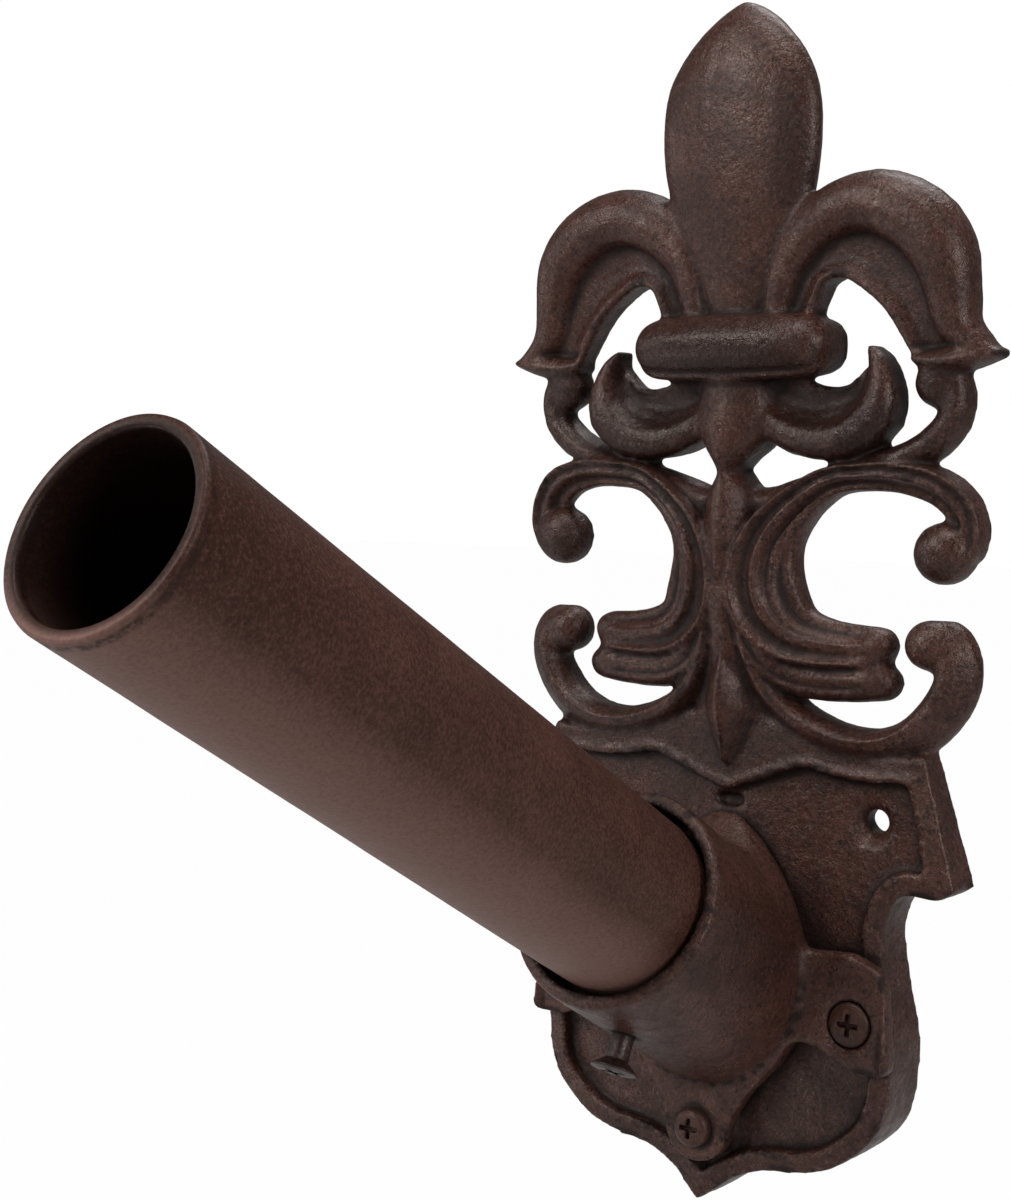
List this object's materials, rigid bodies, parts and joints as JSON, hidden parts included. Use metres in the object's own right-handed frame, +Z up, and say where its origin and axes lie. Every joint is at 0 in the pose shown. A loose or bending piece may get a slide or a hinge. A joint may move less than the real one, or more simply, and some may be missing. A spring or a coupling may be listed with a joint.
{
  "type": "wall flagpole holder",
  "caption": "Cast-iron wall bracket with a fleur-de-lis crest and a shield-shaped plate, carrying a sloping steel tube in a bolted socket that holds a flagpole.",
  "frame": {"origin": "midway between the two wall-screw holes, in the plane of the wall", "axes": "+Z up, +Y into the wall, -Y out into the room, +X to the right for someone who faces the wall"},
  "size_m": [0.1514, 0.2517, 0.3282],
  "materials": {
    "plate_iron": "chocolate-brown satin paint on a sandy casting",
    "socket_iron": "chocolate-brown satin paint on a sandy casting",
    "tube_steel": "brown satin paint on smooth steel tube",
    "screw_steel": "brown paint over steel screws, worn at the heads"
  },
  "bodies": {
    "stand": {"wall_plate": "plate_iron", "socket": "socket_iron", "ear_screw_left": "screw_steel", "ear_screw_right": "screw_steel", "ear_screw_bottom": "screw_steel", "ear_nut_left": "screw_steel", "ear_nut_right": "screw_steel", "ear_nut_bottom": "screw_steel"},
    "tube": {"pole_tube": "tube_steel"},
    "set_screw": {"set_screw": "screw_steel"}
  },
  "joints": [
    {"name": "tube_slide", "type": "slide", "parent": "stand", "child": "tube", "axis": [0, -0.866, 0.5], "range_m": [0, 0.045]},
    {"name": "set_screw_out", "type": "slide", "parent": "stand", "child": "set_screw", "axis": [0, -0.5, -0.866], "range_m": [0, 0.008]}
  ]
}
